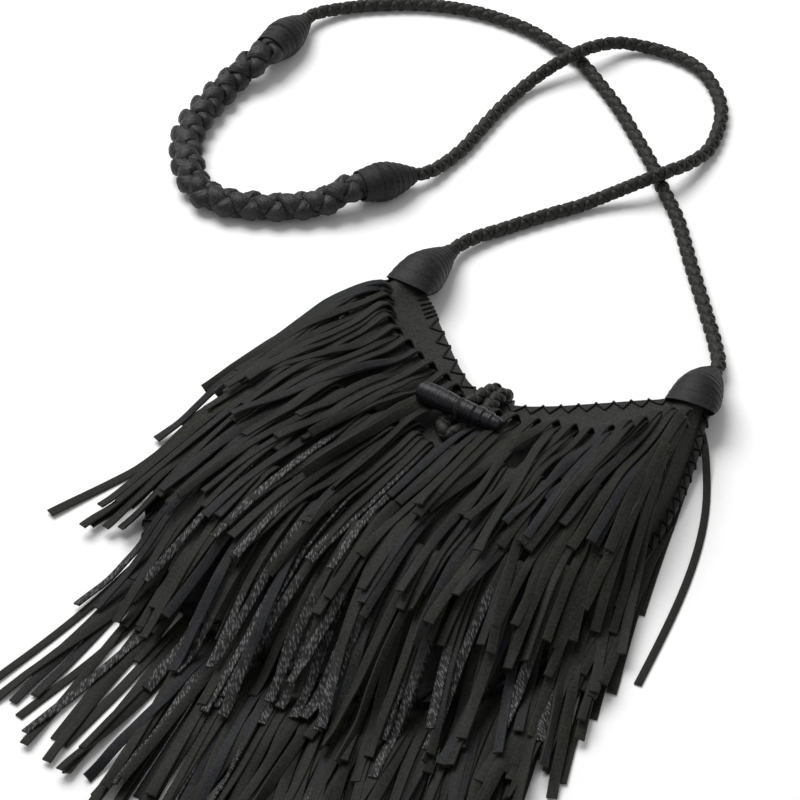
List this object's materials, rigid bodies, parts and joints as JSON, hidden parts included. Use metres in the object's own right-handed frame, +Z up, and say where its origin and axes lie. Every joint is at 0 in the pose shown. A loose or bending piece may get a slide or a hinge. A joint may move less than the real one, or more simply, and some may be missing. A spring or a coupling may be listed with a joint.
{
  "type": "fringe crossbody bag",
  "caption": "Black leather crossbody bag with a rounded pouch, rows of cut fringe, a toggle and a braided strap, lying on its back.",
  "frame": {"origin": "middle of the back panel's flat underside, on the surface that the bag lies on", "axes": "+X from the left horn of the mouth to the right horn, +Y from the fringe towards the strap, +Z up, out of the front panel"},
  "size_m": [0.4294, 0.6354, 0.0441],
  "materials": {
    "panel_leather": "grained satin black",
    "strip_leather": "cut strips, flesh side matte and grain side satin, black",
    "braid_leather": "braided laces, satin black",
    "wrap_leather": "smooth wound leather, satin black"
  },
  "bodies": {
    "root": {"bag_front": "panel_leather", "bag_back": "panel_leather", "fringe_top": "strip_leather", "fringe_middle": "strip_leather", "fringe_lower": "strip_leather", "fringe_seam": "strip_leather", "toggle_bar": "wrap_leather", "toggle_thong": "strip_leather", "toggle_loop": "braid_leather", "horn_wrap_left": "wrap_leather", "horn_wrap_right": "wrap_leather", "ferrule_lower": "wrap_leather", "ferrule_upper": "wrap_leather", "strap_cord_left": "braid_leather", "strap_cord_right": "braid_leather", "shoulder_braid": "braid_leather"}
  },
  "joints": []
}
